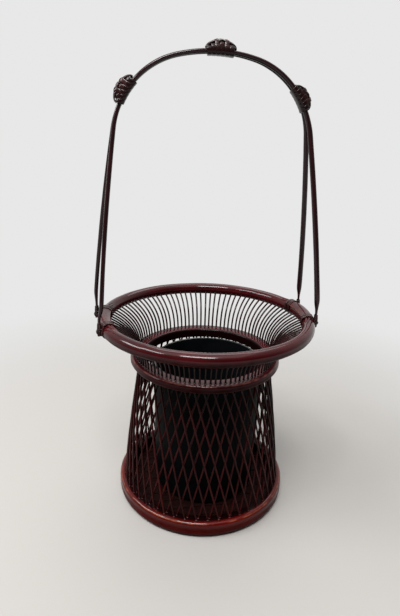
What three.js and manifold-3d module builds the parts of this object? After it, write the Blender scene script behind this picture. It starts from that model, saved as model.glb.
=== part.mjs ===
// Flower basket of dyed bamboo: three hoops, a lattice body in two layers of
// slanted splints, a flared collar of ribs, a lift-out liner cup and a fixed
// arch handle of two canes. Millimetres, +Z up. The origin is the centre of the
// foot hoop's underside, and the handle stands in the XZ plane.
import * as THREE from 'three';
import { mergeVertices } from 'three/addons/utils/BufferGeometryUtils.js';
import Module from 'manifold-3d';

const wasm = await Module();
wasm.setup();

// Clearances
const SEAT_GAP = 0.35; // between a piece and what it sits in or on
const LAYER_GAP = 0.6; // between the two layers of splints
const BUNDLE_GAP = 0.8; // between neighbouring bundles, along the hoop
const WRAP_GAP = 0.6; // between a winding and what it binds

// Foot hoop
const FOOT_OUTER_R = 83.5;
const FOOT_HEIGHT = 15.4;
const FOOT_LIP = 3.6; // from the splint groove to the outer face
const FOOT_LEDGE_Z = 3;
const FOOT_LEDGE_W = 3;
const FOOT_WALL = 1.1; // between the splint groove and the base board's seat
const HOOP_EDGE = 1.2; // chamfer on the flat hoops

// Base board inside the foot hoop
const BASE_T = 3;

// Neck hoop
const NECK_OUTER_R = 71;
const NECK_TOP_Z = 146;
const NECK_HEIGHT = 7.8;
const NECK_LIP = 7.2; // from the splint groove to the outer face
const NECK_WALL = 1; // between the splint groove and the inner face
const NECK_SKIRT_HEIGHT = 1.2; // by which the inner face runs on below the hoop

// Body lattice, two layers of straight splints
const SPLINT_D = 1.8;
const SPLINT_COUNT = 48; // in each layer
const SPLINT_STEPS = 4; // pitches that a splint leans round between foot and neck
const SPLINT_BOW = 3.4; // by which a splint bows out from straight at mid length
const SPLINT_FOOT_SEAT = 5;
const SPLINT_NECK_SEAT = 3;
const BUNDLES = 8; // bundles that each layer and the collar are made in
const STRIP_HEIGHT = 1.2; // of the strip that joins a bundle's feet in the groove
const STRIP_MARGIN = 0.2; // by which the strip is wider than its splints, each side

// Rim hoop
const RIM_OUTER_R = 100;
const RIM_TUBE_D = 11.6;
const RIM_Z = 181; // height of the tube's centre

// Collar ribs
const RIB_D = 1.8;
const RIB_COUNT = 96;
const RIB_INSET = 5.4; // from the neck hoop's outer face to the rib's centre
const RIB_NECK_SEAT = 3;
const RIB_RIM_SEAT = 2;
const RIB_RISE = 25; // degrees above level where a rib enters the rim
const RIB_UPRIGHT_LENGTH = 20; // pull of the rib's upright start
const RIB_FLARE_LENGTH = 16; // pull of its flared end

// Liner cup
const LINER_CLEAR = 4.9; // to the neck hoop's inner face, all round
const LINER_X = 3.4; // by which the loose cup stands off the axis, to the right
const LINER_Y = 1.4; // and to the back
const LINER_DROP = 0.7; // from the neck hoop's underside down to the cup's mouth
const LINER_TAPER = 2; // radius lost from mouth to floor
const LINER_WALL = 1.6;
const LINER_FLOOR = 2;

// Handle
const CANE_D = 4.2;
const TAIL_D = 2.2; // the thinned leg end that the lashing holds
const TAIL_TAPER = 12; // length over which the leg end thins
const TAIL_ABOVE_HEIGHT = 22; // from the rim's centre up to where it starts to thin
const TAIL_BELOW_HEIGHT = 9; // from the rim's centre down to its end
const HANDLE_TOP_Z = 402.8; // centre of the canes at the crown
const CROWN_R = 130;
const CROWN_HALF_ANGLE = 14; // degrees
const SHOULDER_R = 67.5;
const LEG_BOW = 1.2; // by which a leg bows out from straight at mid length
const LEG_RIB_PITCHES = 3.5; // rib pitches from the handle plane to a leg end
const LEFT_RIB_PITCHES = 1; // rib pitches by which the left legs stand nearer the front

// Windings
const LOOP_SQUARENESS = 3; // exponent of a loop's rounded outline

// Knots on the handle
const KNOT_CANE_D = 2.2;
const KNOT_LOOPS = 6;
const KNOT_PITCH = 3.4;
const KNOT_DOME = 5.5; // extra height on the outer side, at mid length
const CROWN_KNOT_TURN = 1.3; // degrees by which the crown knot sits off the middle
const SHOULDER_KNOT_TURN = 56; // degrees from the crown to a shoulder knot's middle

// Lashings on the rim
const LASH_CANE_D = 1.2;
const LASH_PAIRS = 2; // pairs of loops, one pair in each space between two ribs
const LASH_PITCH = 1.7; // between loops on the outside
const LASH_PARTING = 1.6; // by which the loops keep off the leg, each side
const LASH_CROSSING = 0.15; // turns in which the winding crosses over the leg, each side
const LASH_PAIR_STEP = 1.95; // between the loops of a pair, on the inside

// Saddle strips on the rim between and under the lashings
const SADDLE_T = 1;
const SADDLE_FROM = 70; // degrees round the tube section, 90 is its top
const SADDLE_TO = 130;
const SADDLE_TAIL_LENGTH = 20; // length past the middle of each lashing

// Roundness
const HOOP_SEGMENTS = 48;
const STRIP_SEGMENTS = 6;
const RIM_SIDES = 10;
const SADDLE_SIDES = 4;
const CANE_SIDES = 6;
const CANE_STEPS = 40;
const ARC_POINTS = 12; // on each side of the crown
const LEG_POINTS = 4;
const SPLINT_SIDES = 5;
const SPLINT_SEGMENTS = 2;
const RIB_SIDES = 4;
const RIB_SEGMENTS = 3;
const WRAP_SIDES = 5;
const WRAP_STEPS = 14; // in one loop
const FLATNESS = 0.002; // corners nearer than this to a flat face are dropped
const GAP_SAMPLES = 48; // points in one loop where a winding's gap is measured
const END_SHARE = 0.01; // share of a winding's parameter for each straight end

// Colours
const LACQUER = { color: 0x3a1410, roughness: 0.28, metalness: 0 };
const FOOT_RED = { color: 0x5c1a12, roughness: 0.28, metalness: 0 };
const CANE_DARK = { color: 0x26100f, roughness: 0.32, metalness: 0 };
const BINDING = { color: 0x3d1a18, roughness: 0.4, metalness: 0 };
const LINER_BLACK = { color: 0x111416, roughness: 0.35, metalness: 0 };
const BOARD_BROWN = { color: 0x2c120d, roughness: 0.6, metalness: 0 };

const rad = THREE.MathUtils.degToRad;
const basket = new THREE.Group();

function addPiece(name, geometry, finish) {
  const mesh = new THREE.Mesh(geometry, new THREE.MeshStandardMaterial(finish));
  mesh.name = name;
  basket.add(mesh);
}

function polar(radius, angle, z) {
  return new THREE.Vector3(radius * Math.cos(angle), radius * Math.sin(angle), z);
}

// Closed mesh with shared corners.
function closed(geometry) {
  const plain = geometry.index ? geometry.toNonIndexed() : geometry.clone();
  plain.deleteAttribute('normal');
  plain.deleteAttribute('uv');
  const merged = mergeVertices(plain);
  merged.computeVertexNormals();
  return merged;
}

function toSolid(geometry) {
  const mesh = closed(geometry);
  mesh.deleteAttribute('normal');
  return new wasm.Manifold(new wasm.Mesh({
    numProp: 3,
    vertProperties: new Float32Array(mesh.attributes.position.array),
    triVerts: new Uint32Array(mesh.index.array),
  }));
}

// Mesh of a joined or cut solid, without the spare corners that its flat faces keep.
function toGeometry(solid) {
  const mesh = solid.asOriginal().simplify(FLATNESS).getMesh();
  const geometry = new THREE.BufferGeometry();
  geometry.setAttribute('position', new THREE.BufferAttribute(mesh.vertProperties, mesh.numProp));
  geometry.setIndex(new THREE.BufferAttribute(mesh.triVerts, 1));
  geometry.computeVertexNormals();
  return geometry;
}

function joined(geometries) {
  return toGeometry(geometries.map(toSolid).reduce((whole, part) => whole.add(part)));
}

function roundSection(diameter, sides) {
  const points = [];
  for (let i = 0; i < sides; i += 1) {
    const angle = (2 * Math.PI * i) / sides;
    points.push(new THREE.Vector2(Math.cos(angle), Math.sin(angle)).multiplyScalar(diameter / 2));
  }
  return new THREE.Shape(points);
}

function tube(path, diameter, sides, steps) {
  return new THREE.ExtrudeGeometry(roundSection(diameter, sides), {
    steps,
    bevelEnabled: false,
    extrudePath: path,
  });
}

// Ring turned about Z from a closed outline of [radius, height] points.
function hoop(outline) {
  const points = [...outline, outline[0]].map(([r, z]) => new THREE.Vector2(r, z));
  return new THREE.LatheGeometry(points, HOOP_SEGMENTS).rotateX(Math.PI / 2);
}

// Strip bent round Z, with its underside at a height. Its flats lie as far inside
// the radius at their middles as outside it at their corners.
function arcStrip(radius, halfWidth, from, to, z) {
  const flatHalfAngle = (to - from) / STRIP_SEGMENTS / 2;
  const middleR = (2 * radius) / (1 + Math.cos(flatHalfAngle));
  const shape = new THREE.Shape();
  shape.absarc(0, 0, middleR + halfWidth, from, to, false);
  shape.absarc(0, 0, middleR - halfWidth, to, from, true);
  const strip = new THREE.ExtrudeGeometry(shape, {
    depth: STRIP_HEIGHT,
    bevelEnabled: false,
    curveSegments: STRIP_SEGMENTS / 2, // an arc is drawn with twice as many
  });
  return strip.translate(0, 0, z);
}

// Lattice: the outer layer's radii follow from the hoops, the inner layer lies
// one splint and one gap further in.
const layerStep = SPLINT_D + LAYER_GAP;
const splintStripHalf = SPLINT_D / 2 + STRIP_MARGIN;
const splintRoom = splintStripHalf + SEAT_GAP;
const neckBottomZ = NECK_TOP_Z - NECK_HEIGHT;
const splintFootZ = FOOT_HEIGHT - SPLINT_FOOT_SEAT + SEAT_GAP;
const splintNeckZ = neckBottomZ + SPLINT_NECK_SEAT - SEAT_GAP;
const splintPitch = (2 * Math.PI) / SPLINT_COUNT;
const splintTurn = SPLINT_STEPS * splintPitch;
const footSplintR = FOOT_OUTER_R - FOOT_LIP - splintRoom;
const neckGrooveR = NECK_OUTER_R - NECK_LIP;

// A splint's ends lie where its slope there, from its slant and its bow, brings it
// through the mouths of both grooves.
const splintRise = splintNeckZ - splintFootZ;
const bowPull = 4 * SPLINT_BOW;
const neckSeatShare = (SPLINT_NECK_SEAT - SEAT_GAP) / splintRise;
const neckMouthR = neckGrooveR - splintRoom;
const neckSplintR = (neckMouthR - (footSplintR * Math.cos(splintTurn) + bowPull) * neckSeatShare)
  / (1 - neckSeatShare);
const footSlope = (footSplintR - neckSplintR * Math.cos(splintTurn)) / splintRise;
const footGroove = {
  inner: footSplintR - layerStep - footSlope * SPLINT_FOOT_SEAT - splintRoom,
  outer: FOOT_OUTER_R - FOOT_LIP,
};
const neckGroove = {
  inner: neckSplintR - layerStep - splintRoom,
  outer: neckGrooveR,
};
const boardSeatR = footGroove.inner - FOOT_WALL;
const footInnerR = boardSeatR - FOOT_LEDGE_W;
const neckInnerR = neckGroove.inner - NECK_WALL;

addPiece('foot_hoop', closed(hoop([
  [footInnerR, 0],
  [FOOT_OUTER_R - HOOP_EDGE, 0],
  [FOOT_OUTER_R, HOOP_EDGE],
  [FOOT_OUTER_R, FOOT_HEIGHT - HOOP_EDGE],
  [FOOT_OUTER_R - HOOP_EDGE, FOOT_HEIGHT],
  [footGroove.outer, FOOT_HEIGHT],
  [footGroove.outer, FOOT_HEIGHT - SPLINT_FOOT_SEAT],
  [footGroove.inner, FOOT_HEIGHT - SPLINT_FOOT_SEAT],
  [footGroove.inner, FOOT_HEIGHT],
  [boardSeatR, FOOT_HEIGHT],
  [boardSeatR, FOOT_LEDGE_Z],
  [footInnerR, FOOT_LEDGE_Z],
])), FOOT_RED);

const board = new THREE.CylinderGeometry(
  boardSeatR - SEAT_GAP,
  boardSeatR - SEAT_GAP,
  BASE_T,
  HOOP_SEGMENTS,
);
board.rotateX(Math.PI / 2);
board.translate(0, 0, FOOT_LEDGE_Z + SEAT_GAP + BASE_T / 2);
addPiece('base_board', closed(board), BOARD_BROWN);

// Collar: ribs stand in a groove of the neck hoop and end in a slot of the rim.
const rimR = RIM_OUTER_R - RIM_TUBE_D / 2;
const ribFootR = NECK_OUTER_R - RIB_INSET;
const ribStripHalf = RIB_D / 2 + STRIP_MARGIN;
const ribRoom = ribStripHalf + SEAT_GAP;
const ribPitch = (2 * Math.PI) / RIB_COUNT;
const ribFootZ = NECK_TOP_Z - RIB_NECK_SEAT + SEAT_GAP;

addPiece('neck_hoop', closed(hoop([
  [neckInnerR, neckBottomZ - NECK_SKIRT_HEIGHT],
  [neckGroove.inner, neckBottomZ - NECK_SKIRT_HEIGHT],
  [neckGroove.inner, neckBottomZ + SPLINT_NECK_SEAT],
  [neckGroove.outer, neckBottomZ + SPLINT_NECK_SEAT],
  [neckGroove.outer, neckBottomZ],
  [NECK_OUTER_R - HOOP_EDGE, neckBottomZ],
  [NECK_OUTER_R, neckBottomZ + HOOP_EDGE],
  [NECK_OUTER_R, NECK_TOP_Z - HOOP_EDGE],
  [NECK_OUTER_R - HOOP_EDGE, NECK_TOP_Z],
  [ribFootR + ribRoom, NECK_TOP_Z],
  [ribFootR + ribRoom, NECK_TOP_Z - RIB_NECK_SEAT],
  [ribFootR - ribRoom, NECK_TOP_Z - RIB_NECK_SEAT],
  [ribFootR - ribRoom, NECK_TOP_Z],
  [neckInnerR, NECK_TOP_Z],
])), LACQUER);

// Point in the rim's section: along a direction from the tube's centre, and aside.
function rimSection(angle, along, aside) {
  return [
    rimR + along * Math.cos(angle) - aside * Math.sin(angle),
    RIM_Z + along * Math.sin(angle) + aside * Math.cos(angle),
  ];
}

function rimOutline() {
  const slotAngle = Math.PI + rad(RIB_RISE);
  const radius = RIM_TUBE_D / 2;
  const slotHalf = Math.asin(ribRoom / radius);
  const slotFloor = radius - RIB_RIM_SEAT - SEAT_GAP;
  const outline = [];
  for (let i = 0; i <= RIM_SIDES; i += 1) {
    const around = slotHalf + ((2 * Math.PI - 2 * slotHalf) * i) / RIM_SIDES;
    outline.push(rimSection(slotAngle + around, radius, 0));
  }
  outline.push(rimSection(slotAngle, slotFloor, -ribRoom));
  outline.push(rimSection(slotAngle, slotFloor, ribRoom));
  return outline;
}
addPiece('rim_hoop', closed(hoop(rimOutline())), LACQUER);

function ribPath(angle) {
  const [endR, endZ] = rimSection(Math.PI + rad(RIB_RISE), RIM_TUBE_D / 2 - RIB_RIM_SEAT, 0);
  const flareR = endR - RIB_FLARE_LENGTH * Math.cos(rad(RIB_RISE));
  const flareZ = endZ - RIB_FLARE_LENGTH * Math.sin(rad(RIB_RISE));
  return new THREE.CubicBezierCurve3(
    polar(ribFootR, angle, ribFootZ + STRIP_HEIGHT / 2),
    polar(ribFootR, angle, ribFootZ + RIB_UPRIGHT_LENGTH),
    polar(flareR, angle, flareZ),
    polar(endR, angle, endZ),
  );
}

function ribBundle(index) {
  const count = RIB_COUNT / BUNDLES;
  const first = index * count;
  const parts = [];
  for (let i = 0; i < count; i += 1) {
    parts.push(tube(ribPath((first + i + 0.5) * ribPitch), RIB_D, RIB_SIDES, RIB_SEGMENTS));
  }
  const spare = BUNDLE_GAP / 2 / ribFootR;
  const from = first * ribPitch + spare;
  const to = (first + count) * ribPitch - spare;
  parts.push(arcStrip(ribFootR, ribStripHalf, from, to, ribFootZ));
  return joined(parts);
}

// One splint, between its radii at foot and neck, bowed out at mid length.
function splint(footR, neckR, angle, lean) {
  const foot = polar(footR, angle, splintFootZ + STRIP_HEIGHT / 2);
  const neck = polar(neckR, angle + lean * splintTurn, splintNeckZ);
  const pull = foot.clone().add(neck).multiplyScalar(0.5);
  const outward = pull.clone().setZ(0).normalize();
  pull.addScaledVector(outward, 2 * SPLINT_BOW);
  const path = new THREE.QuadraticBezierCurve3(foot, pull, neck);
  return tube(path, SPLINT_D, SPLINT_SIDES, SPLINT_SEGMENTS);
}

// One bundle of a lattice layer: inset from the outer layer, leaning to one side.
function splintBundle(index, inset, lean) {
  const count = SPLINT_COUNT / BUNDLES;
  const first = index * count;
  const footR = footSplintR - inset;
  const neckR = neckSplintR - inset;
  const parts = [];
  for (let i = 0; i < count; i += 1) {
    parts.push(splint(footR, neckR, (first + i + 0.5) * splintPitch, lean));
  }
  const spare = BUNDLE_GAP / 2 / footR;
  const from = first * splintPitch + spare;
  const to = (first + count) * splintPitch - spare;
  parts.push(arcStrip(footR, splintStripHalf, from, to, splintFootZ));
  return joined(parts);
}

for (let i = 0; i < BUNDLES; i += 1) {
  addPiece(`outer_splints_${i + 1}`, splintBundle(i, 0, -1), LACQUER);
}
for (let i = 0; i < BUNDLES; i += 1) {
  addPiece(`inner_splints_${i + 1}`, splintBundle(i, layerStep, 1), LACQUER);
}
for (let i = 0; i < BUNDLES; i += 1) {
  addPiece(`collar_ribs_${i + 1}`, ribBundle(i), LACQUER);
}

// Liner cup: stands on the base board and lifts out through the neck.
const linerFloorZ = FOOT_LEDGE_Z + SEAT_GAP + BASE_T + SEAT_GAP;
const linerMouthZ = neckBottomZ - LINER_DROP;
const linerR = neckInnerR - LINER_CLEAR;
const linerOutline = [
  [0, linerFloorZ],
  [linerR - LINER_TAPER, linerFloorZ],
  [linerR, linerMouthZ],
  [linerR - LINER_WALL, linerMouthZ],
  [linerR - LINER_TAPER - LINER_WALL, linerFloorZ + LINER_FLOOR],
  [0, linerFloorZ + LINER_FLOOR],
];
const liner = new THREE.LatheGeometry(
  linerOutline.map(([r, z]) => new THREE.Vector2(r, z)),
  HOOP_SEGMENTS,
);
liner.rotateX(Math.PI / 2);
liner.translate(LINER_X, LINER_Y, 0);
addPiece('liner_cup', closed(liner), LINER_BLACK);

// Handle: a crown arc, two shoulder arcs and straight legs that end outside the rim.
const legAngle = LEG_RIB_PITCHES * ribPitch;
const tailR = RIM_OUTER_R + SEAT_GAP + TAIL_D / 2;
const legEnd = polar(tailR, legAngle, RIM_Z + TAIL_ABOVE_HEIGHT);
const leftAngle = Math.PI + LEFT_RIB_PITCHES * ribPitch;
const crownAngle = rad(CROWN_HALF_ANGLE);
const shoulderX = (CROWN_R - SHOULDER_R) * Math.sin(crownAngle);
const shoulderZ = HANDLE_TOP_Z - CROWN_R + (CROWN_R - SHOULDER_R) * Math.cos(crownAngle);
const legReach = Math.hypot(legEnd.x - shoulderX, legEnd.z - shoulderZ);
const legTurn = Math.atan2(legEnd.x - shoulderX, legEnd.z - shoulderZ)
  - Math.acos(SHOULDER_R / legReach);

// Place on the handle's middle line at a turn, in radians, from the crown.
function archAt(turn) {
  const side = Math.sign(turn) || 1;
  const size = Math.abs(turn);
  const onCrown = size <= crownAngle;
  const radius = onCrown ? CROWN_R : SHOULDER_R;
  const centreX = onCrown ? 0 : shoulderX;
  const centreZ = onCrown ? HANDLE_TOP_Z - CROWN_R : shoulderZ;
  const outward = new THREE.Vector3(side * Math.sin(size), 0, Math.cos(size));
  const x = side * (centreX + radius * Math.sin(size));
  return { point: new THREE.Vector3(x, 0, centreZ + radius * Math.cos(size)), outward, radius };
}

// The two canes lie side by side down to the shoulder knots, then part.
const caneHalfStep = (CANE_D + SEAT_GAP) / 2;
const shoulderKnotTurn = rad(SHOULDER_KNOT_TURN);
const knotLength = KNOT_LOOPS * KNOT_PITCH;
const partingTurn = shoulderKnotTurn + (knotLength / 2 + KNOT_CANE_D) / SHOULDER_R;
const partingZ = archAt(partingTurn).point.z;

// Place where a leg thins, on the right (1) or left (-1), of the front (-1) or back (1) cane.
function legEndAt(end, side) {
  const angle = end > 0 ? side * legAngle : leftAngle - side * legAngle;
  return polar(tailR, angle, legEnd.z);
}

// Half of a cane's middle line, from beside the crown to the leg's end, which runs on
// upright into its thinned tail.
function halfCane(end, side) {
  const points = [];
  for (let i = 1; i <= ARC_POINTS; i += 1) {
    points.push(archAt((legTurn * i) / ARC_POINTS).point);
  }
  const legTop = points[points.length - 1];
  const legFoot = legEnd.clone().setY(0);
  for (let i = 1; i <= LEG_POINTS; i += 1) {
    const share = i / LEG_POINTS;
    const point = legTop.clone().lerp(legFoot, share);
    point.x += 4 * LEG_BOW * share * (1 - share);
    points.push(point);
  }
  points.push(legFoot.clone().setZ(legFoot.z - TAIL_D));
  const foot = legEndAt(end, side);
  points.forEach((p) => {
    const parted = THREE.MathUtils.clamp((partingZ - p.z) / (partingZ - legEnd.z), 0, 1);
    p.x = end * p.x + (foot.x - end * legEnd.x) * parted;
    p.y = THREE.MathUtils.lerp(side * caneHalfStep, foot.y, parted);
  });
  return points;
}

// Thinned leg end: a taper, then a straight tail down the outside of the rim.
function legTail(top) {
  const taper = new THREE.CylinderGeometry(CANE_D / 2, TAIL_D / 2, TAIL_TAPER, CANE_SIDES);
  taper.rotateX(Math.PI / 2);
  taper.translate(top.x, top.y, top.z - TAIL_TAPER / 2);
  const tailTop = top.clone().setZ(top.z - TAIL_TAPER + TAIL_D);
  const tailEnd = top.clone().setZ(RIM_Z - TAIL_BELOW_HEIGHT);
  return [taper, tube(new THREE.LineCurve3(tailTop, tailEnd), TAIL_D, CANE_SIDES, 1)];
}

// One cane, on the front (-1) or the back (1) side.
function handleCane(side) {
  const crown = archAt(0).point.setY(side * caneHalfStep);
  const points = [...halfCane(-1, side).reverse(), crown, ...halfCane(1, side)];
  const cane = tube(new THREE.CatmullRomCurve3(points), CANE_D, CANE_SIDES, CANE_STEPS);
  const tails = [1, -1].flatMap((end) => legTail(legEndAt(end, side)));
  return joined([cane, ...tails]);
}
addPiece('front_cane', handleCane(-1), CANE_DARK);
addPiece('back_cane', handleCane(1), CANE_DARK);

// A winding follows loopAt(turns), and each of its ends runs on straight for one
// cane diameter.
class Winding extends THREE.Curve {
  constructor(loops, diameter, loopAt) {
    super();
    this.loops = loops;
    this.diameter = diameter;
    this.loopAt = loopAt;
    this.arcLengthDivisions = loops * GAP_SAMPLES;
  }

  getPoint(t) {
    const share = (t - END_SHARE) / (1 - 2 * END_SHARE);
    const inside = THREE.MathUtils.clamp(share, 0, 1);
    const point = this.loopAt(inside * this.loops);
    if (share === inside) return point;
    const nextTurns = inside === 0 ? END_SHARE : this.loops - END_SHARE;
    const away = point.clone().sub(this.loopAt(nextTurns)).normalize();
    const past = Math.abs(share - inside) * ((1 - 2 * END_SHARE) / END_SHARE);
    return point.addScaledVector(away, past * this.diameter);
  }

  // Least distance between the surfaces of turns that are over half a loop apart.
  leastGap() {
    const count = this.loops * GAP_SAMPLES;
    const points = [];
    for (let i = 0; i <= count; i += 1) points.push(this.getPoint(i / count));
    let least = Infinity;
    for (let i = 0; i <= count; i += 1) {
      for (let j = i + GAP_SAMPLES / 2; j <= count; j += 1) {
        least = Math.min(least, points[i].distanceTo(points[j]));
      }
    }
    return least - this.diameter;
  }
}

function addWinding(name, winding) {
  console.log(`${name}: least gap to itself ${winding.leastGap().toFixed(2)} mm`);
  const steps = winding.loops * WRAP_STEPS;
  addPiece(name, closed(tube(winding, winding.diameter, WRAP_SIDES, steps)), BINDING);
}

// Rounded square outline of a loop, at an angle, with half sizes of 1.
function loopOutline(angle) {
  const cos = Math.cos(angle);
  const sin = Math.sin(angle);
  const sum = Math.abs(cos) ** LOOP_SQUARENESS + Math.abs(sin) ** LOOP_SQUARENESS;
  return new THREE.Vector2(cos, sin).divideScalar(sum ** (1 / LOOP_SQUARENESS));
}

// Knots: loops round both canes, taller on the outer side towards mid length.
const knotReach = WRAP_GAP + KNOT_CANE_D / 2;
const knotHalfWidth = caneHalfStep + CANE_D / 2 + knotReach;
const knotHalfHeight = CANE_D / 2 + knotReach;

function knotWinding(middleTurn) {
  const { radius } = archAt(middleTurn);
  return new Winding(KNOT_LOOPS, KNOT_CANE_D, (turns) => {
    const along = (turns - KNOT_LOOPS / 2) * KNOT_PITCH;
    const place = archAt(middleTurn + along / radius);
    const outline = loopOutline(2 * Math.PI * turns - Math.PI / 2);
    const dome = KNOT_DOME * Math.sqrt(Math.max(0, 1 - ((2 * along) / knotLength) ** 2));
    const rise = outline.y * (knotHalfHeight + (outline.y > 0 ? dome : 0));
    return place.point.addScaledVector(place.outward, rise).setY(outline.x * knotHalfWidth);
  });
}
addWinding('crown_knot', knotWinding(rad(CROWN_KNOT_TURN)));
addWinding('left_shoulder_knot', knotWinding(-shoulderKnotTurn));
addWinding('right_shoulder_knot', knotWinding(shoulderKnotTurn));

// Saddle strips: hug the top of the rim, and run on past the lashings.
const saddleInner = RIM_TUBE_D / 2 + SEAT_GAP;
const saddleOuter = saddleInner + SADDLE_T;

function saddleStrip(angle) {
  const outline = [];
  for (let i = 0; i <= SADDLE_SIDES; i += 1) {
    const around = rad(THREE.MathUtils.lerp(SADDLE_FROM, SADDLE_TO, i / SADDLE_SIDES));
    outline.push(rimSection(around, saddleOuter, 0));
    outline.unshift(rimSection(around, saddleInner, 0));
  }
  const half = legAngle + SADDLE_TAIL_LENGTH / rimR;
  const reach = RIM_OUTER_R / Math.cos(half);
  const wedge = new THREE.Shape();
  wedge.moveTo(0, 0);
  wedge.lineTo(reach * Math.cos(angle - half), reach * Math.sin(angle - half));
  wedge.lineTo(reach * Math.cos(angle + half), reach * Math.sin(angle + half));
  const cutter = new THREE.ExtrudeGeometry(wedge, { depth: RIM_TUBE_D, bevelEnabled: false });
  cutter.translate(0, 0, RIM_Z);
  return toGeometry(toSolid(hoop(outline)).intersect(toSolid(cutter)));
}
addPiece('right_saddle', saddleStrip(0), LACQUER);
addPiece('left_saddle', saddleStrip(leftAngle), LACQUER);

// Lashings: loops round the rim, a saddle strip and a leg's tail. They cross over
// the tail once, on the outside; inside they pass in pairs between the ribs.
const lashReach = WRAP_GAP + LASH_CANE_D / 2;
const lashInnerR = rimR - RIM_TUBE_D / 2 - lashReach;
const lashOuterR = tailR + TAIL_D / 2 + lashReach;
const lashBottomZ = RIM_Z - RIM_TUBE_D / 2 - lashReach;
const lashTopZ = RIM_Z + saddleOuter + lashReach;
const lashLoops = 2 * LASH_PAIRS;

function lashWinding(angle) {
  return new Winding(lashLoops, LASH_CANE_D, (turns) => {
    const around = 2 * Math.PI * turns;
    const index = Math.min(Math.floor(turns), lashLoops - 1);
    const space = Math.floor(index / 2) - Math.floor(LASH_PAIRS / 2) + 0.5;
    const past = turns - lashLoops / 2;
    const crossing = THREE.MathUtils.clamp(past / LASH_CROSSING, -1, 1);
    const outside = past * LASH_PITCH + crossing * LASH_PARTING;
    const inside = space * ribPitch * rimR + ((index % 2) - 0.5) * LASH_PAIR_STEP;
    const aside = THREE.MathUtils.lerp(outside, inside, (1 - Math.cos(around)) / 2);
    const outline = loopOutline(around);
    const r = THREE.MathUtils.lerp(lashInnerR, lashOuterR, (1 + outline.x) / 2);
    const z = THREE.MathUtils.lerp(lashBottomZ, lashTopZ, (1 + outline.y) / 2);
    return polar(r, angle + aside / rimR, z);
  });
}
addWinding('right_back_lashing', lashWinding(legAngle));
addWinding('right_front_lashing', lashWinding(-legAngle));
addWinding('left_back_lashing', lashWinding(leftAngle - legAngle));
addWinding('left_front_lashing', lashWinding(leftAngle + legAngle));

export default basket;
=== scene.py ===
# Flower basket of dyed and lacquered bamboo: a lattice body on a foot hoop, a flared
# collar of ribs under a round rim, a lift-out liner, and a fixed arch handle of two
# canes with bound knots. Metres, +Z up, the handle in the XZ plane.
import math
import random

import bpy
from mathutils import Euler, Matrix, Vector


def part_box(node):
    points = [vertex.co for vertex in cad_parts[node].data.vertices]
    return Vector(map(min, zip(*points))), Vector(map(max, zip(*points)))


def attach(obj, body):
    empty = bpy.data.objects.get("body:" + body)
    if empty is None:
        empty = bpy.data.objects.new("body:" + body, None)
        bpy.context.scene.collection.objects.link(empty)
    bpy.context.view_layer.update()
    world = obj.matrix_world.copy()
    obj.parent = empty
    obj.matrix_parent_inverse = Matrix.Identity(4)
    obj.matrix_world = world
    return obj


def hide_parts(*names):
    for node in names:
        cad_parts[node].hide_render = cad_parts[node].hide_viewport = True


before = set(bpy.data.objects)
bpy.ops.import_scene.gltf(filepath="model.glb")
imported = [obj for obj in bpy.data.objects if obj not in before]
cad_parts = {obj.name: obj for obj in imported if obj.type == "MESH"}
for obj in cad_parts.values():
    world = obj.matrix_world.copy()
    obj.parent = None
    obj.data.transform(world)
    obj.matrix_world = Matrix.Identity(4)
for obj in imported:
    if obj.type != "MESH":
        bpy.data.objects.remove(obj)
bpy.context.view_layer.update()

# Studio: a pale floor that runs out into a pale surround, a lamp high on the viewer's side
# with a broad soft one over the basket, and others at the left and behind. The camera looks
# down on the basket a little.
SURROUND = (0.80, 0.805, 0.80, 1)
DIM_SIDE = 0.05
BRIGHT_SIDE = 0.55
WALL_TURN = math.radians(80)
WALL_LIFT = 0.5
WALL_FADE = (-0.5, 1.0)
FLOOR_PALE = (0.39, 0.372, 0.352, 1)
FLOOR_BOUNCE = (0.06, 0.05, 0.045, 1)
FLOOR_R = 4.0
FLOOR_SIDES = 96
FLOOR_FADE_FROM = 0.16
FLOOR_FADE_TO = 0.62
FLOOR_DROP = 0.0002
FLOOR_ROUGHNESS = 0.7
LAMP_AIM = Vector((0, 0, 0.18))
CAMERA_PLACE = (-0.07443, -0.40157, 0.33123)
CAMERA_PITCH = 19.12
CAMERA_TURN = -9.65
CAMERA_ROLL = 1.87
CAMERA_FOCAL_PX = 463
PICTURE_LONG_PX = 616
CAMERA_NEAR = 0.01
SENSOR_MM = 36


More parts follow.
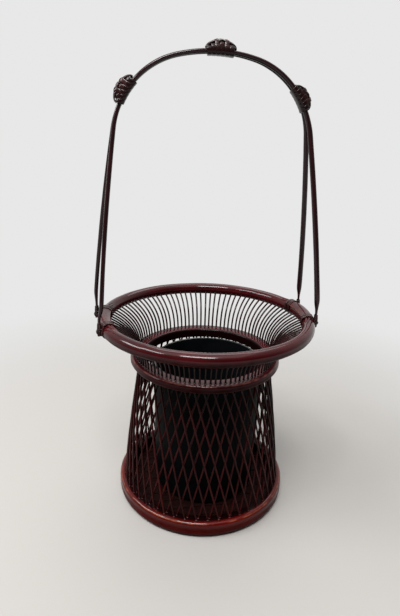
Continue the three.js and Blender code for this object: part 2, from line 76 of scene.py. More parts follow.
class Shade:
    """A socket in a node tree. Arithmetic on shades adds Math nodes to the tree."""

    def __init__(self, tree, socket=None):
        self.tree = tree
        self.socket = socket

    def node(self, kind, settings=None, inputs=None, out=0):
        made = self.tree.nodes.new(kind)
        for name, value in (settings or {}).items():
            setattr(made, name, value)
        for name, value in (inputs or {}).items():
            if isinstance(value, Shade):
                self.tree.links.new(value.socket, made.inputs[name])
            else:
                made.inputs[name].default_value = value
        return Shade(self.tree, made.outputs[out] if made.outputs else None)

    def beside(self, name):
        return Shade(self.tree, self.socket.node.outputs[name])

    def math(self, operation, *values):
        return self.node("ShaderNodeMath", {"operation": operation}, dict(enumerate(values)))

    def mix(self, factor, first, second):
        inputs = {0: factor, 6: first, 7: second}
        return self.node("ShaderNodeMix", {"data_type": "RGBA"}, inputs, out=2)

    def band(self, value, low, high):
        inputs = {"Value": value, "From Min": low, "From Max": high}
        return self.node("ShaderNodeMapRange", {"interpolation_type": "SMOOTHSTEP"}, inputs)

    def noise(self, at, scale, detail, w=None):
        settings = {"noise_dimensions": "3D" if w is None else "4D"}
        inputs = {"Vector": at, "Scale": scale, "Detail": detail}
        if w is not None:
            inputs["W"] = w
        return self.node("ShaderNodeTexNoise", settings, inputs)

    def __add__(self, other):
        return self.math("ADD", self, other)

    def __sub__(self, other):
        return self.math("SUBTRACT", self, other)

    def __rsub__(self, other):
        return self.math("SUBTRACT", other, self)

    def __mul__(self, other):
        return self.math("MULTIPLY", self, other)

    def __truediv__(self, other):
        return self.math("DIVIDE", self, other)

    def __pow__(self, other):
        return self.math("POWER", self, other)

    __radd__ = __add__
    __rmul__ = __mul__


def rays(shade):
    """Rays straight from the camera, and those by way of a mirroring or clear surface."""
    ray = shade.node("ShaderNodeLightPath", out="Is Camera Ray")
    return ray, shade.math(
        "MAXIMUM", ray.beside("Is Glossy Ray"), ray.beside("Is Transmission Ray"))


def new_finish(name):
    material = bpy.data.materials.new(name)
    material.use_nodes = True
    material.node_tree.nodes.clear()
    return material, Shade(material.node_tree)


def lamp(name, turn, rise, distance, length, width, power):
    """A flat lamp aimed at the basket, at a turn and rise in degrees."""
    turn, rise = math.radians(turn), math.radians(rise)
    level = distance * math.cos(rise)
    away = Vector((level * math.cos(turn), level * math.sin(turn), distance * math.sin(rise)))
    bpy.ops.object.light_add(type="AREA", location=LAMP_AIM + away)
    made = bpy.context.object
    made.name = name
    made.rotation_euler = (-away).to_track_quat("-Z", "Y").to_euler()
    made.data.shape = "RECTANGLE"
    made.data.size = length
    made.data.size_y = width
    made.data.energy = power


scene = bpy.context.scene
scene.view_settings.view_transform = "Standard"
world = bpy.data.worlds.new("surround")
scene.world = world
world.use_nodes = True
world.node_tree.nodes.clear()
shade = Shade(world.node_tree)
way = shade.node("ShaderNodeTexCoord", out="Generated")
wall_way = (math.cos(WALL_TURN), math.sin(WALL_TURN), WALL_LIFT)
towards_wall = shade.node(
    "ShaderNodeVectorMath", {"operation": "DOT_PRODUCT"}, {0: way, 1: wall_way}, out="Value")
behind = shade.band(towards_wall, *WALL_FADE)
lit = DIM_SIDE + behind * (BRIGHT_SIDE - DIM_SIDE)
ray, mirrored = rays(shade)
seen = shade.math("MAXIMUM", ray, mirrored * behind)
strength = lit + seen * (1 - lit)
glow = shade.node("ShaderNodeBackground", None, {"Color": SURROUND, "Strength": strength})
shade.node("ShaderNodeOutputWorld", None, {"Surface": glow})

lamp("lamp_high", turn=-112, rise=62, distance=1.4, length=0.65, width=0.34, power=18)
lamp("lamp_over", turn=-100, rise=78, distance=1.5, length=1.6, width=1.2, power=7)
lamp("lamp_left", turn=172, rise=38, distance=1.5, length=0.60, width=0.28, power=8)
lamp("lamp_between", turn=-166, rise=48, distance=1.5, length=0.60, width=0.28, power=9)
lamp("lamp_behind", turn=70, rise=55, distance=1.6, length=1.2, width=0.7, power=8)

bpy.ops.object.camera_add(location=CAMERA_PLACE)
camera = bpy.context.object
tilt = Euler((math.radians(90 - CAMERA_PITCH), 0, math.radians(CAMERA_TURN))).to_matrix()
camera.rotation_euler = (tilt @ Matrix.Rotation(math.radians(CAMERA_ROLL), 3, "Z")).to_euler()
camera.data.sensor_width = SENSOR_MM
camera.data.lens = CAMERA_FOCAL_PX / PICTURE_LONG_PX * SENSOR_MM
camera.data.clip_start = CAMERA_NEAR
scene.camera = camera

bpy.ops.object.select_all(action="DESELECT")
bpy.ops.mesh.primitive_circle_add(
    vertices=FLOOR_SIDES, radius=FLOOR_R, fill_type="NGON", location=(0, 0, -FLOOR_DROP))
bpy.ops.object.transform_apply()
floor = bpy.context.object
floor.name = "floor"
floor_finish, shade = new_finish("pale_floor")
place = shade.node("ShaderNodeTexCoord", out="Object")
reach = shade.node("ShaderNodeVectorMath", {"operation": "LENGTH"}, {0: place}, out="Value")
seen = shade.math("MAXIMUM", *rays(shade))
fade = shade.band(reach, FLOOR_FADE_FROM, FLOOR_FADE_TO) * seen
tone = shade.mix(seen, FLOOR_BOUNCE, FLOOR_PALE)
matt = {"Base Color": tone, "Roughness": FLOOR_ROUGHNESS}
ground = shade.node("ShaderNodeBsdfPrincipled", None, matt)
beyond = shade.node("ShaderNodeEmission", None, {"Color": SURROUND})
surface = shade.node("ShaderNodeMixShader", None, {0: fade, 1: ground, 2: beyond})
shade.node("ShaderNodeOutputMaterial", None, {"Surface": surface})
floor.data.materials.append(floor_finish)

# Foot hoop: a thick bamboo hoop, bent round and scarfed, that the basket stands on. Its
# outer face is rounded over and its inner side is stepped to carry the board. It is
# lacquered redder than the rest. Along its edges it is paler, partly rubbed wear and partly
# painted highlight, and its top inside the splints is darkened with painted shade.
FOOT_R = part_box("foot_hoop")[1].x
FOOT_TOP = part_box("foot_hoop")[1].z
FOOT_SEAT_R = 0.07258
FOOT_LEDGE_R = 0.06958
FOOT_LEDGE_Z = 0.003
FOOT_LOW_ROUND = 0.0052
FOOT_HIGH_ROUND = 0.0036
FOOT_SMALL_ROUND = 0.0008
ROUND_STEPS = 7
HOOP_STEPS = 144
SAME_PLACE = 1e-5
FOOT_DEEP = (0.042, 0.0006, 0.0002, 1)
FOOT_GLOW = (0.180, 0.0045, 0.0010, 1)
# Paler colour for the foot's edges: partly rubbed wear, partly painted highlight.
FOOT_BARE_AND_HIGHLIGHT = (0.320, 0.0900, 0.0450, 1)
FOOT_FULL = (FOOT_TOP * 0.5, FOOT_TOP * 0.85)
# Within this band of radii the foot's top is darkened with painted shade.
FOOT_INSIDE = (FOOT_R - 0.0052, FOOT_R - 0.0028)
# Rings along the top and bottom outer edges: partly rubbed wear, partly painted highlight.
FOOT_RUBBED_AND_HIGHLIT = [(FOOT_R - 0.0009, FOOT_TOP - 0.0007, 0.0011), (FOOT_R - 0.0015, 0.0012, 0.0016)]
# Painted shade: the colour that the inner faces of the hoops darken to.
PAINTED_INSIDE_SHADE = (0.0050, 0.0008, 0.0008, 1)
DYE_FIBRE = 0.9
DYE_CLOUD = 0.7
DYE_START = 0.62
SMUDGED = (0.5, 0.8)
SMUDGE_WEAR = 0.2
SMUDGE_RELIEF = 0.25
SMUDGE_ROUGHNESS = 0.22
RUB_WEAR = 0.3
# The paler edge rings: partly rubbed wear, partly painted highlight.
RUB_AND_HIGHLIGHT_PATCHES = (0.36, 0.62)
RUB_AND_HIGHLIGHT_CORE = 0.3
RUB_AND_HIGHLIGHT_MOST = 0.6
GRAIN_DEPTH = 0.00012
BAMBOO_ROUGHNESS = 0.34
BAMBOO_SPECULAR = 0.03
LACQUER_IOR = 1.34
FIBRES_ROUND = 2.6
FIBRES_ACROSS = 1500
HOOP_RELIEF = 0.2
UNDERSIDE_COAT = 0.12
INSIDE_COAT = 0.3


def alone(piece):
    """Makes a piece the only one selected, for the next operator."""
    bpy.ops.object.select_all(action="DESELECT")
    piece.select_set(True)
    bpy.context.view_layer.objects.active = piece


def pick(piece, test):
    """Opens a piece for editing, with the corners selected whose place passes a test."""
    alone(piece)
    bpy.ops.object.mode_set(mode="EDIT")
    bpy.ops.mesh.select_mode(type="VERT")
    bpy.ops.mesh.select_all(action="DESELECT")
    bpy.ops.object.mode_set(mode="OBJECT")
    for corner in piece.data.vertices:
        corner.select = test(corner.co)
    bpy.ops.object.mode_set(mode="EDIT")


def drawn_section(name, corners):
    """A closed outline of (radius, height) corners, drawn one after another."""
    points = [Vector((radius, 0, height)) for radius, height in corners]
    bpy.ops.object.select_all(action="DESELECT")
    bpy.ops.mesh.primitive_plane_add(size=SAME_PLACE)
    piece = bpy.context.object
    piece.name = name
    bpy.ops.object.mode_set(mode="EDIT")
    bpy.ops.mesh.merge(type="CENTER")
    bpy.ops.transform.translate(value=points[0])
    for here, there in zip(points, points[1:]):
        bpy.ops.mesh.extrude_vertices_move(TRANSFORM_OT_translate={"value": there - here})
    bpy.ops.mesh.select_all(action="SELECT")
    bpy.ops.mesh.edge_face_add()
    bpy.ops.object.mode_set(mode="OBJECT")
    return piece


def round_corner(piece, corner, radius):
    spot = Vector((corner[0], 0, corner[1]))
    pick(piece, lambda place: (place - spot).length < SAME_PLACE)
    bpy.ops.mesh.bevel(offset=radius, segments=ROUND_STEPS, affect="VERTICES")
    bpy.ops.object.mode_set(mode="OBJECT")


def spun(piece, steps, angle=2 * math.pi):
    """Carries a flat outline round the basket's axis and closes what comes of it."""
    pick(piece, lambda place: True)
    if angle == 2 * math.pi:
        bpy.ops.mesh.delete(type="ONLY_FACE")
        bpy.ops.mesh.select_all(action="SELECT")
    bpy.ops.mesh.spin(steps=steps, angle=angle, center=(0, 0, 0), axis=(0, 0, -1))
    bpy.ops.mesh.select_all(action="SELECT")
    bpy.ops.mesh.remove_doubles(threshold=SAME_PLACE)
    bpy.ops.mesh.normals_make_consistent(inside=False)
    bpy.ops.object.mode_set(mode="OBJECT")


def smoothed(piece, angle=40):
    alone(piece)
    bpy.ops.object.shade_smooth_by_angle(angle=math.radians(angle))


def hand_bent(piece, wave, depth):
    """Slight unevenness of a bent and hand-scraped piece."""
    texture = bpy.data.textures.new(piece.name + "_wave", "CLOUDS")
    texture.noise_scale = wave
    uneven = piece.modifiers.new("uneven", "DISPLACE")
    uneven.texture = texture
    uneven.texture_coords = "LOCAL"
    uneven.strength = depth
    alone(piece)
    bpy.ops.object.modifier_apply(modifier="uneven")


def lacquer(shade, fibre, tone, dyes, coat, gloss, relief, rub_and_highlight=None, bare_and_highlight=None):
    """Dyed bamboo under clear lacquer. The dye takes unevenly along the fibres. Where a rub
    mask is given the colour is paler and the coat duller, partly rubbed wear and partly
    painted highlight."""
    place = shade.node("ShaderNodeTexCoord", out="Object")
    cloud = shade.noise(place, scale=34, detail=2)
    smudge = shade.noise(place, scale=150, detail=4)
    colour = shade.mix(fibre * DYE_FIBRE + cloud * DYE_CLOUD + tone - DYE_START, *dyes)
    worn_coat = coat - shade.band(smudge, *SMUDGED) * SMUDGE_WEAR
    if rub_and_highlight is not None:
        colour = shade.mix(rub_and_highlight, colour, bare_and_highlight)
        worn_coat = worn_coat - rub_and_highlight * RUB_WEAR
    height = fibre + smudge * SMUDGE_RELIEF
    grain = {"Strength": relief, "Distance": GRAIN_DEPTH, "Height": height}
    surface = shade.node("ShaderNodeBsdfPrincipled", None, {
        "Base Color": colour,
        "Roughness": BAMBOO_ROUGHNESS + smudge * SMUDGE_ROUGHNESS,
        "Specular IOR Level": BAMBOO_SPECULAR,
        "Coat Weight": worn_coat,
        "Coat Roughness": gloss,
        "Coat IOR": LACQUER_IOR,
        "Normal": shade.node("ShaderNodeBump", None, grain),
    })
    shade.node("ShaderNodeOutputMaterial", None, {"Surface": surface})


def hoop_lacquer(name, dyes, gloss, bare_and_highlight, full, inside, rings):
    """Lacquer with fibres that run round the basket, thin on the underside and full above
    the heights given, darkened with painted shade and thin inside the radii given, and paler
    along rings, each with its radius, height and width, partly as rubbed wear and partly as
    painted highlight."""
    material, shade = new_finish(name)
    place = shade.node("ShaderNodeTexCoord", out="Object")
    x = shade.node("ShaderNodeSeparateXYZ", None, {0: place})
    y, z = x.beside("Y"), x.beside("Z")
    radius = (x * x + y * y) ** 0.5
    round_place = {
        "X": x / radius * FIBRES_ROUND, "Y": y / radius * FIBRES_ROUND, "Z": z * FIBRES_ACROSS}
    grain_at = shade.node("ShaderNodeCombineXYZ", None, round_place)
    fibre = shade.noise(grain_at, scale=1, detail=3, w=radius * FIBRES_ACROSS)
    patchy = shade.band(shade.noise(place, scale=130, detail=3), *RUB_AND_HIGHLIGHT_PATCHES)
    rub_and_highlight = None
    # Paler rings along the edges: partly rubbed wear, partly painted highlight.
    for ring_radius, height, width in rings:
        off = ((radius - ring_radius) ** 2 + (z - height) ** 2) ** 0.5
        near = 1 - shade.band(off, width * RUB_AND_HIGHLIGHT_CORE, width)
        rub_and_highlight = near if rub_and_highlight is None else shade.math("MAXIMUM", rub_and_highlight, near)
    outside = shade.band(radius, *inside)
    # Painted shade: inside the given radii the dyes darken.
    stain_and_painted_shade = [shade.mix(outside, PAINTED_INSIDE_SHADE, dye) for dye in dyes]
    upper = UNDERSIDE_COAT + shade.band(z, *full) * (1 - UNDERSIDE_COAT)
    coat = upper * (INSIDE_COAT + outside * (1 - INSIDE_COAT))
    worn_and_highlit = rub_and_highlight * patchy * RUB_AND_HIGHLIGHT_MOST
    lacquer(shade, fibre, 0, stain_and_painted_shade, coat, gloss, HOOP_RELIEF, worn_and_highlit, bare_and_highlight)
    return material


foot = drawn_section("foot", [
    (FOOT_LEDGE_R, 0), (FOOT_R, 0), (FOOT_R, FOOT_TOP),
    (FOOT_SEAT_R, FOOT_TOP), (FOOT_SEAT_R, FOOT_LEDGE_Z), (FOOT_LEDGE_R, FOOT_LEDGE_Z)])
round_corner(foot, (FOOT_R, 0), FOOT_LOW_ROUND)
round_corner(foot, (FOOT_R, FOOT_TOP), FOOT_HIGH_ROUND)
round_corner(foot, (FOOT_SEAT_R, FOOT_TOP), FOOT_SMALL_ROUND)
round_corner(foot, (FOOT_LEDGE_R, FOOT_LEDGE_Z), FOOT_SMALL_ROUND)
spun(foot, HOOP_STEPS)
hand_bent(foot, wave=0.03, depth=0.0005)
smoothed(foot)
foot.data.materials.append(hoop_lacquer(
    "red_lacquer", (FOOT_DEEP, FOOT_GLOW), gloss=0.08, bare_and_highlight=FOOT_BARE_AND_HIGHLIGHT, full=FOOT_FULL,
    inside=FOOT_INSIDE, rings=FOOT_RUBBED_AND_HIGHLIT))
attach(foot, "basket")
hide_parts("foot_hoop")

# Base board: narrow slats of split bamboo, laid side by side on the foot hoop's step.
# They are stained dark and left without lacquer.
BOARD_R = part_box("base_board")[1].x
BOARD_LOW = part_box("base_board")[0].z
BOARD_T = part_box("base_board")[1].z - BOARD_LOW
SLAT_COUNT = 13
SLAT_GAP = 0.0006
SLAT_EDGE = 0.0005
SLAT_EDGE_STEPS = 2
BOARD_SIDES = 96
BOARD_DARK = (0.0040, 0.0009, 0.0006, 1)
BOARD_BROWN = (0.0130, 0.0030, 0.0020, 1)
SLAT_GRAIN = (18, 900, 900)
STAIN_FIBRE = 0.8
STAIN_CLOUD = 0.8
STAIN_START = 0.3
STAIN_ROUGHNESS = 0.5
STAIN_ROUGHER = 0.25
STAIN_SPECULAR = 0.05
STAIN_RELIEF = 0.4
STAIN_DEPTH = 0.0002
slat_pitch = 2 * BOARD_R / SLAT_COUNT
slats = []
for i in range(SLAT_COUNT):
    bpy.ops.object.select_all(action="DESELECT")
    bpy.ops.mesh.primitive_cylinder_add(
        vertices=BOARD_SIDES, radius=BOARD_R, depth=BOARD_T,
        location=(0, 0, BOARD_LOW + BOARD_T / 2))
    bpy.ops.object.transform_apply()
    slat = bpy.context.object
    side = -BOARD_R + i * slat_pitch
    pick(slat, lambda place: True)
    for cut, cleared in (
            (side + SLAT_GAP / 2, "clear_inner"),
            (side + slat_pitch - SLAT_GAP / 2, "clear_outer")):
        bpy.ops.mesh.select_all(action="SELECT")
        bpy.ops.mesh.bisect(
            plane_co=(0, cut, 0), plane_no=(0, 1, 0), use_fill=True, **{cleared: True})
    bpy.ops.object.mode_set(mode="OBJECT")
    edge = slat.modifiers.new("edge", "BEVEL")
    edge.width = SLAT_EDGE
    edge.segments = SLAT_EDGE_STEPS
    bpy.ops.object.modifier_apply(modifier="edge")
    slats.append(slat)


def joined(pieces, name):
    alone(pieces[0])
    for piece in pieces:
        piece.select_set(True)
    if len(pieces) > 1:
        bpy.ops.object.join()
    whole = bpy.context.object
    whole.name = name
    whole.data.name = name
    return whole


board = joined(slats, "board")
smoothed(board)
stain, shade = new_finish("stained_slats")
place = shade.node("ShaderNodeTexCoord", out="Object")
along = shade.node("ShaderNodeMapping", None, {"Vector": place, "Scale": SLAT_GRAIN})
fibre = shade.noise(along, scale=1, detail=4)
cloud = shade.noise(place, scale=45, detail=3)
stain_and_painted_shade = fibre * STAIN_FIBRE + cloud * STAIN_CLOUD - STAIN_START
grain = {"Strength": STAIN_RELIEF, "Distance": STAIN_DEPTH, "Height": fibre}
surface = shade.node("ShaderNodeBsdfPrincipled", None, {
    "Base Color": shade.mix(stain_and_painted_shade, BOARD_DARK, BOARD_BROWN),
    "Roughness": STAIN_ROUGHNESS + cloud * STAIN_ROUGHER,
    "Specular IOR Level": STAIN_SPECULAR,
    "Normal": shade.node("ShaderNodeBump", None, grain),
})
shade.node("ShaderNodeOutputMaterial", None, {"Surface": surface})
board.data.materials.append(stain)
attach(board, "basket")
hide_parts("base_board")

# Body lattice: two layers of round bamboo splints. Each is let into a drilled hole in the
# foot hoop and another in the neck hoop, with a bead of lacquer where it enters. The outer
# layer leans one way, the inner layer the other.
SPLINT_D = 0.0018
SPLINT_COUNT = 48
SPLINT_LEAN = math.radians(30)
SPLINT_FOOT = (0.07845, 0.01135)
SPLINT_NECK = (0.06198, 0.14085)
SPLINT_BOW = 0.0034
LAYER_STEP = 0.0024
SPLINT_SEGMENTS = 9
SPLINT_SMOOTH = 55
NODE_GROUPS = 8
NECK_SKIRT = 0.0012
NECK_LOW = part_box("neck_hoop")[0].z + NECK_SKIRT
BEAD_R = 0.0014
BEAD_T = 0.0007
BEAD_TIP_R = SPLINT_D * 0.46
BEAD_LIFT = BEAD_T * 0.4
BEAD_SIDES = 8
SPLINT_WANDER = math.radians(0.22)
SPLINT_DYES = ((0.0160, 0.0012, 0.0012, 1), (0.0850, 0.0056, 0.0050, 1))
FIBRES_AROUND = 9
TONE_APART = 53
TONE_SPREAD = 0.4


def polar(radius, angle, height):
    return Vector((radius * math.cos(angle), radius * math.sin(angle), height))


def bent_splint(ends, pulls, diameter, segments):
    """A round splint between two ends, bent towards two pulls."""
    bpy.ops.object.select_all(action="DESELECT")
    bpy.ops.curve.primitive_bezier_curve_add()
    splint = bpy.context.object
    line = splint.data
    line.bevel_depth = diameter / 2
    line.bevel_resolution = 2
    line.resolution_u = segments
    line.use_fill_caps = True
    for knot, end, pull in zip(line.splines[0].bezier_points, ends, pulls):
        knot.handle_left_type = knot.handle_right_type = "FREE"
        knot.co = end
        knot.handle_left = knot.handle_right = pull
    bpy.ops.object.convert(target="MESH")
    return bpy.context.object


def seat_bead(place, along):
    """A bead of lacquer where a splint goes into a hoop."""
    bpy.ops.object.select_all(action="DESELECT")
    bpy.ops.mesh.primitive_cone_add(
        vertices=BEAD_SIDES, radius1=BEAD_R, radius2=BEAD_TIP_R, depth=BEAD_T,
        end_fill_type="NGON", location=place + along * BEAD_LIFT,
        rotation=along.to_track_quat("Z", "Y").to_euler())
    return bpy.context.object


def ring_of(piece, count, wander, seed, name):
    """Copies a splint round the hoops, each a little out of true and with its own tone."""
    draw = random.Random(seed)
    copies = []
    for i in range(count):
        alone(piece)
        bpy.ops.object.duplicate()
        copy = bpy.context.object
        copy.rotation_euler.z = (i + 0.5) * 2 * math.pi / count + draw.uniform(-wander, wander)
        bpy.ops.object.transform_apply()
        tone = copy.data.attributes.new("tone", "FLOAT", "POINT")
        tone.data.foreach_set("value", [draw.random()] * len(copy.data.vertices))
        copies.append(copy)
    bpy.data.objects.remove(piece)
    ring = joined(copies, name)
    pick(ring, lambda place: True)
    bpy.ops.mesh.remove_doubles(threshold=SAME_PLACE)
    bpy.ops.object.mode_set(mode="OBJECT")
    smoothed(ring, SPLINT_SMOOTH)
    return ring


def splint_lacquer(name, dyes, along, coat, gloss, relief):
    """Lacquer with fibres that run the length of a splint, each splint in its own tone."""
    material, shade = new_finish(name)
    chart = shade.node("ShaderNodeTexCoord", out="UV")
    u = shade.node("ShaderNodeSeparateXYZ", None, {0: chart})
    tone = shade.node("ShaderNodeAttribute", {"attribute_name": "tone"}, out="Fac")
    length_place = {"X": u * along, "Y": u.beside("Y") * FIBRES_AROUND, "Z": tone * TONE_APART}
    grain_at = shade.node("ShaderNodeCombineXYZ", None, length_place)
    fibre = shade.noise(grain_at, scale=1, detail=3)
    lacquer(shade, fibre, (tone - 0.5) * TONE_SPREAD, dyes, coat, gloss, relief)
    return material


def splint_layer(name, inset, lean, seed):
    """A layer of splints, set inwards by an inset, that lean one way (1) or the other (-1)."""
    foot_end = polar(SPLINT_FOOT[0] - inset, 0, SPLINT_FOOT[1])
    neck_end = polar(SPLINT_NECK[0] - inset, lean * SPLINT_LEAN, SPLINT_NECK[1])
    middle = (foot_end + neck_end) / 2
    outward = Vector((middle.x, middle.y, 0)).normalized()
    pull = middle + outward * 2 * SPLINT_BOW
    pulls = [foot_end.lerp(pull, 2 / 3), neck_end.lerp(pull, 2 / 3)]
    splint = bent_splint([foot_end, neck_end], pulls, SPLINT_D, SPLINT_SEGMENTS)
    rise = neck_end.z - foot_end.z
    parts = [splint]
    for height, side in ((FOOT_TOP, 1), (NECK_LOW, -1)):
        share = (height - foot_end.z) / rise
        low, high = foot_end.lerp(pull, share), pull.lerp(neck_end, share)
        parts.append(seat_bead(low.lerp(high, share), (high - low).normalized() * side))
    return ring_of(joined(parts, name), SPLINT_COUNT, SPLINT_WANDER, seed, name)


outer_layer = splint_layer("outer_layer", inset=0, lean=-1, seed=11)
inner_layer = splint_layer("inner_layer", inset=LAYER_STEP, lean=1, seed=12)
splint_finish = splint_lacquer(
    "dark_lacquer_splints", SPLINT_DYES, along=7, coat=0.4, gloss=0.12, relief=0.2)
for layer, nodes in ((outer_layer, "outer_splints"), (inner_layer, "inner_splints")):
    layer.data.materials.append(splint_finish)
    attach(layer, "basket")
    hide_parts(*[f"{nodes}_{i + 1}" for i in range(NODE_GROUPS)])

# Neck hoop: a flat bamboo hoop with rounded edges, drilled from below for the splints and
# from above for the ribs. Its edges are a little paler, partly rubbed wear and partly painted
# highlight, and its inner face is darkened with painted shade.
NECK_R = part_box("neck_hoop")[1].x
NECK_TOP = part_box("neck_hoop")[1].z
NECK_INNER_R = 0.05713
NECK_SKIRT_R = 0.0581
NECK_OUTER_ROUND = 0.0030
NECK_INNER_ROUND = 0.0026
NECK_FULL = (NECK_LOW + 0.003, NECK_TOP)
# Within this band of radii the neck's inner face is darkened with painted shade.
NECK_INSIDE = (NECK_INNER_R + 0.0005, NECK_INNER_R + 0.0020)
# Rings along the top and bottom outer edges: partly rubbed wear, partly painted highlight.
NECK_RUBBED_AND_HIGHLIT = [
    (NECK_R - 0.0009, NECK_TOP - 0.0008, 0.0012), (NECK_R - 0.0009, NECK_LOW + 0.0008, 0.0009)]
HOOP_DYES = ((0.0230, 0.0014, 0.0022, 1), (0.1050, 0.0056, 0.0078, 1))
# Paler colour for the edges of the neck, rim and saddles: partly rubbed wear, partly painted
# highlight.
HOOP_BARE_AND_HIGHLIGHT = (0.190, 0.0620, 0.0480, 1)
HOOP_GLOSS = 0.09
neck = drawn_section("neck", [
    (NECK_INNER_R, NECK_LOW - NECK_SKIRT), (NECK_SKIRT_R, NECK_LOW - NECK_SKIRT),
    (NECK_SKIRT_R, NECK_LOW), (NECK_R, NECK_LOW), (NECK_R, NECK_TOP), (NECK_INNER_R, NECK_TOP)])
for corner_z in (NECK_LOW, NECK_TOP):
    round_corner(neck, (NECK_R, corner_z), NECK_OUTER_ROUND)
round_corner(neck, (NECK_INNER_R, NECK_TOP), NECK_INNER_ROUND)
spun(neck, HOOP_STEPS)
hand_bent(neck, wave=0.03, depth=0.0004)
smoothed(neck)
neck.data.materials.append(hoop_lacquer(
    "dark_lacquer_neck", HOOP_DYES, HOOP_GLOSS, HOOP_BARE_AND_HIGHLIGHT, NECK_FULL, NECK_INSIDE, NECK_RUBBED_AND_HIGHLIT))
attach(neck, "basket")
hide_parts("neck_hoop")

# Rim hoop: a round bamboo hoop at the mouth, bent, scraped smooth and lacquered like the
# neck. The ribs' upper ends are let into its inner side.
RIM_R = 0.0942
RIM_Z = 0.181
RIM_TUBE_R = 0.0058
RIM_SIDES = 40
RIM_STEPS = 192
RIM_FULL = (RIM_Z - 0.003, RIM_Z + 0.002)
RIM_INSIDE = (0, NECK_R)
# A ring along the rim's lower outer edge: partly rubbed wear, partly painted highlight.
RIM_RUBBED_AND_HIGHLIT = [(RIM_R + 0.0040, RIM_Z - 0.0042, 0.0011)]
bpy.ops.object.select_all(action="DESELECT")
bpy.ops.mesh.primitive_circle_add(
    vertices=RIM_SIDES, radius=RIM_TUBE_R, location=(RIM_R, 0, RIM_Z),
    rotation=(math.pi / 2, 0, 0))
bpy.ops.object.transform_apply()
rim = bpy.context.object
rim.name = "rim"
spun(rim, RIM_STEPS)
hand_bent(rim, wave=0.035, depth=0.0006)
smoothed(rim)
rim.data.materials.append(hoop_lacquer(
    "dark_lacquer_rim", HOOP_DYES, HOOP_GLOSS, HOOP_BARE_AND_HIGHLIGHT, RIM_FULL, RIM_INSIDE, RIM_RUBBED_AND_HIGHLIT))
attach(rim, "basket")
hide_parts("rim_hoop")

# Collar ribs: round bamboo splints, dyed and lacquered, that stand upright in the neck hoop
# and flare out into holes on the inner side of the rim.
RIB_D = 0.0018
RIB_COUNT = 96
RIB_FOOT = (0.0656, 0.14395)
RIB_UPRIGHT = 0.0194
RIB_FLARE = 0.016
RIB_RISE = math.radians(25)
RIB_RIM_SEAT = 0.002
RIB_SEGMENTS = 12
RIB_WANDER = math.radians(0.26)
# The ribs are dyed darker than the splints: painted shade for ribs seen mostly against the
# light.
RIB_DYES_WITH_PAINTED_SHADE = ((0.0060, 0.0010, 0.0011, 1), (0.0420, 0.0040, 0.0042, 1))
into_rim = Vector((math.cos(RIB_RISE), 0, math.sin(RIB_RISE)))
rib_foot = polar(RIB_FOOT[0], 0, RIB_FOOT[1])
rib_end = Vector((RIM_R, 0, RIM_Z)) - into_rim * (RIM_TUBE_R - RIB_RIM_SEAT)
rib_pulls = [rib_foot + Vector((0, 0, RIB_UPRIGHT)), rib_end - into_rim * RIB_FLARE]
rib = bent_splint([rib_foot, rib_end], rib_pulls, RIB_D, RIB_SEGMENTS)
rib_bead = seat_bead(polar(RIB_FOOT[0], 0, NECK_TOP), Vector((0, 0, 1)))
whole_rib = joined([rib, rib_bead], "rib")
collar = ring_of(whole_rib, RIB_COUNT, RIB_WANDER, seed=13, name="collar")
collar.data.materials.append(splint_lacquer(
    "dark_lacquer_ribs_painted_shade", RIB_DYES_WITH_PAINTED_SHADE, along=4, coat=0.6, gloss=0.10, relief=0.2))
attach(collar, "basket")
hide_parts(*[f"collar_ribs_{i + 1}" for i in range(NODE_GROUPS)])

# Liner cup: a moulded black cup for water that stands loose on the board, a little off the
# middle, and lifts out. Its rolled lip is a little paler, partly wear and partly painted
# highlight.
liner_least, liner_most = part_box("liner_cup")
LINER_LOW = liner_least.z
LINER_TOP = liner_most.z
LINER_R = (liner_most.x - liner_least.x) / 2
LINER_TAPER = 0.002
LINER_WALL = 0.0016
LINER_FLOOR = 0.002
LINER_LIP = 0.0006
LINER_LIP_H = 0.0026
LINER_FOOT_ROUND = 0.003
LINER_FLOOR_ROUND = 0.004
LIP_UNDER_ROUND = 0.0007
LIP_OUTER_ROUND = 0.0011
LIP_INNER_ROUND = 0.0008
LINER_STEPS = 96
LINER_SMOOTH = 35
LINER_DARK = (0.0012, 0.0015, 0.0018, 1)
LINER_SHEEN = (0.0040, 0.0050, 0.0060, 1)
# Paler colour at the lip: partly wear, partly a painted highlight along it.
LINER_WORN_AND_HIGHLIT = (0.0700, 0.0720, 0.0700, 1)
LINER_WEAR_AND_HIGHLIGHT = (LINER_TOP - 0.0008, LINER_TOP - 0.0001)
LINER_WEAR_AND_HIGHLIGHT_PATCHES = (0.3, 0.6)
LINER_ROUGHNESS = 0.36
LINER_ROUGHER = 0.2
LINER_SPECULAR = 0.03
LINER_RELIEF = 0.1
LINER_GRAIN = 0.0001
CENTRE_R = 0.0004
floor_r = LINER_R - LINER_TAPER
liner = drawn_section("liner", [
    (CENTRE_R, LINER_LOW), (floor_r, LINER_LOW),
    (LINER_R - LINER_TAPER * LINER_LIP_H / (LINER_TOP - LINER_LOW), LINER_TOP - LINER_LIP_H),
    (LINER_R + LINER_LIP, LINER_TOP - LINER_LIP_H), (LINER_R + LINER_LIP, LINER_TOP),
    (LINER_R - LINER_WALL, LINER_TOP), (floor_r - LINER_WALL, LINER_LOW + LINER_FLOOR),
    (CENTRE_R, LINER_LOW + LINER_FLOOR)])
round_corner(liner, (floor_r, LINER_LOW), LINER_FOOT_ROUND)
round_corner(liner, (LINER_R + LINER_LIP, LINER_TOP - LINER_LIP_H), LIP_UNDER_ROUND)
round_corner(liner, (LINER_R + LINER_LIP, LINER_TOP), LIP_OUTER_ROUND)
round_corner(liner, (LINER_R - LINER_WALL, LINER_TOP), LIP_INNER_ROUND)
round_corner(liner, (floor_r - LINER_WALL, LINER_LOW + LINER_FLOOR), LINER_FLOOR_ROUND)
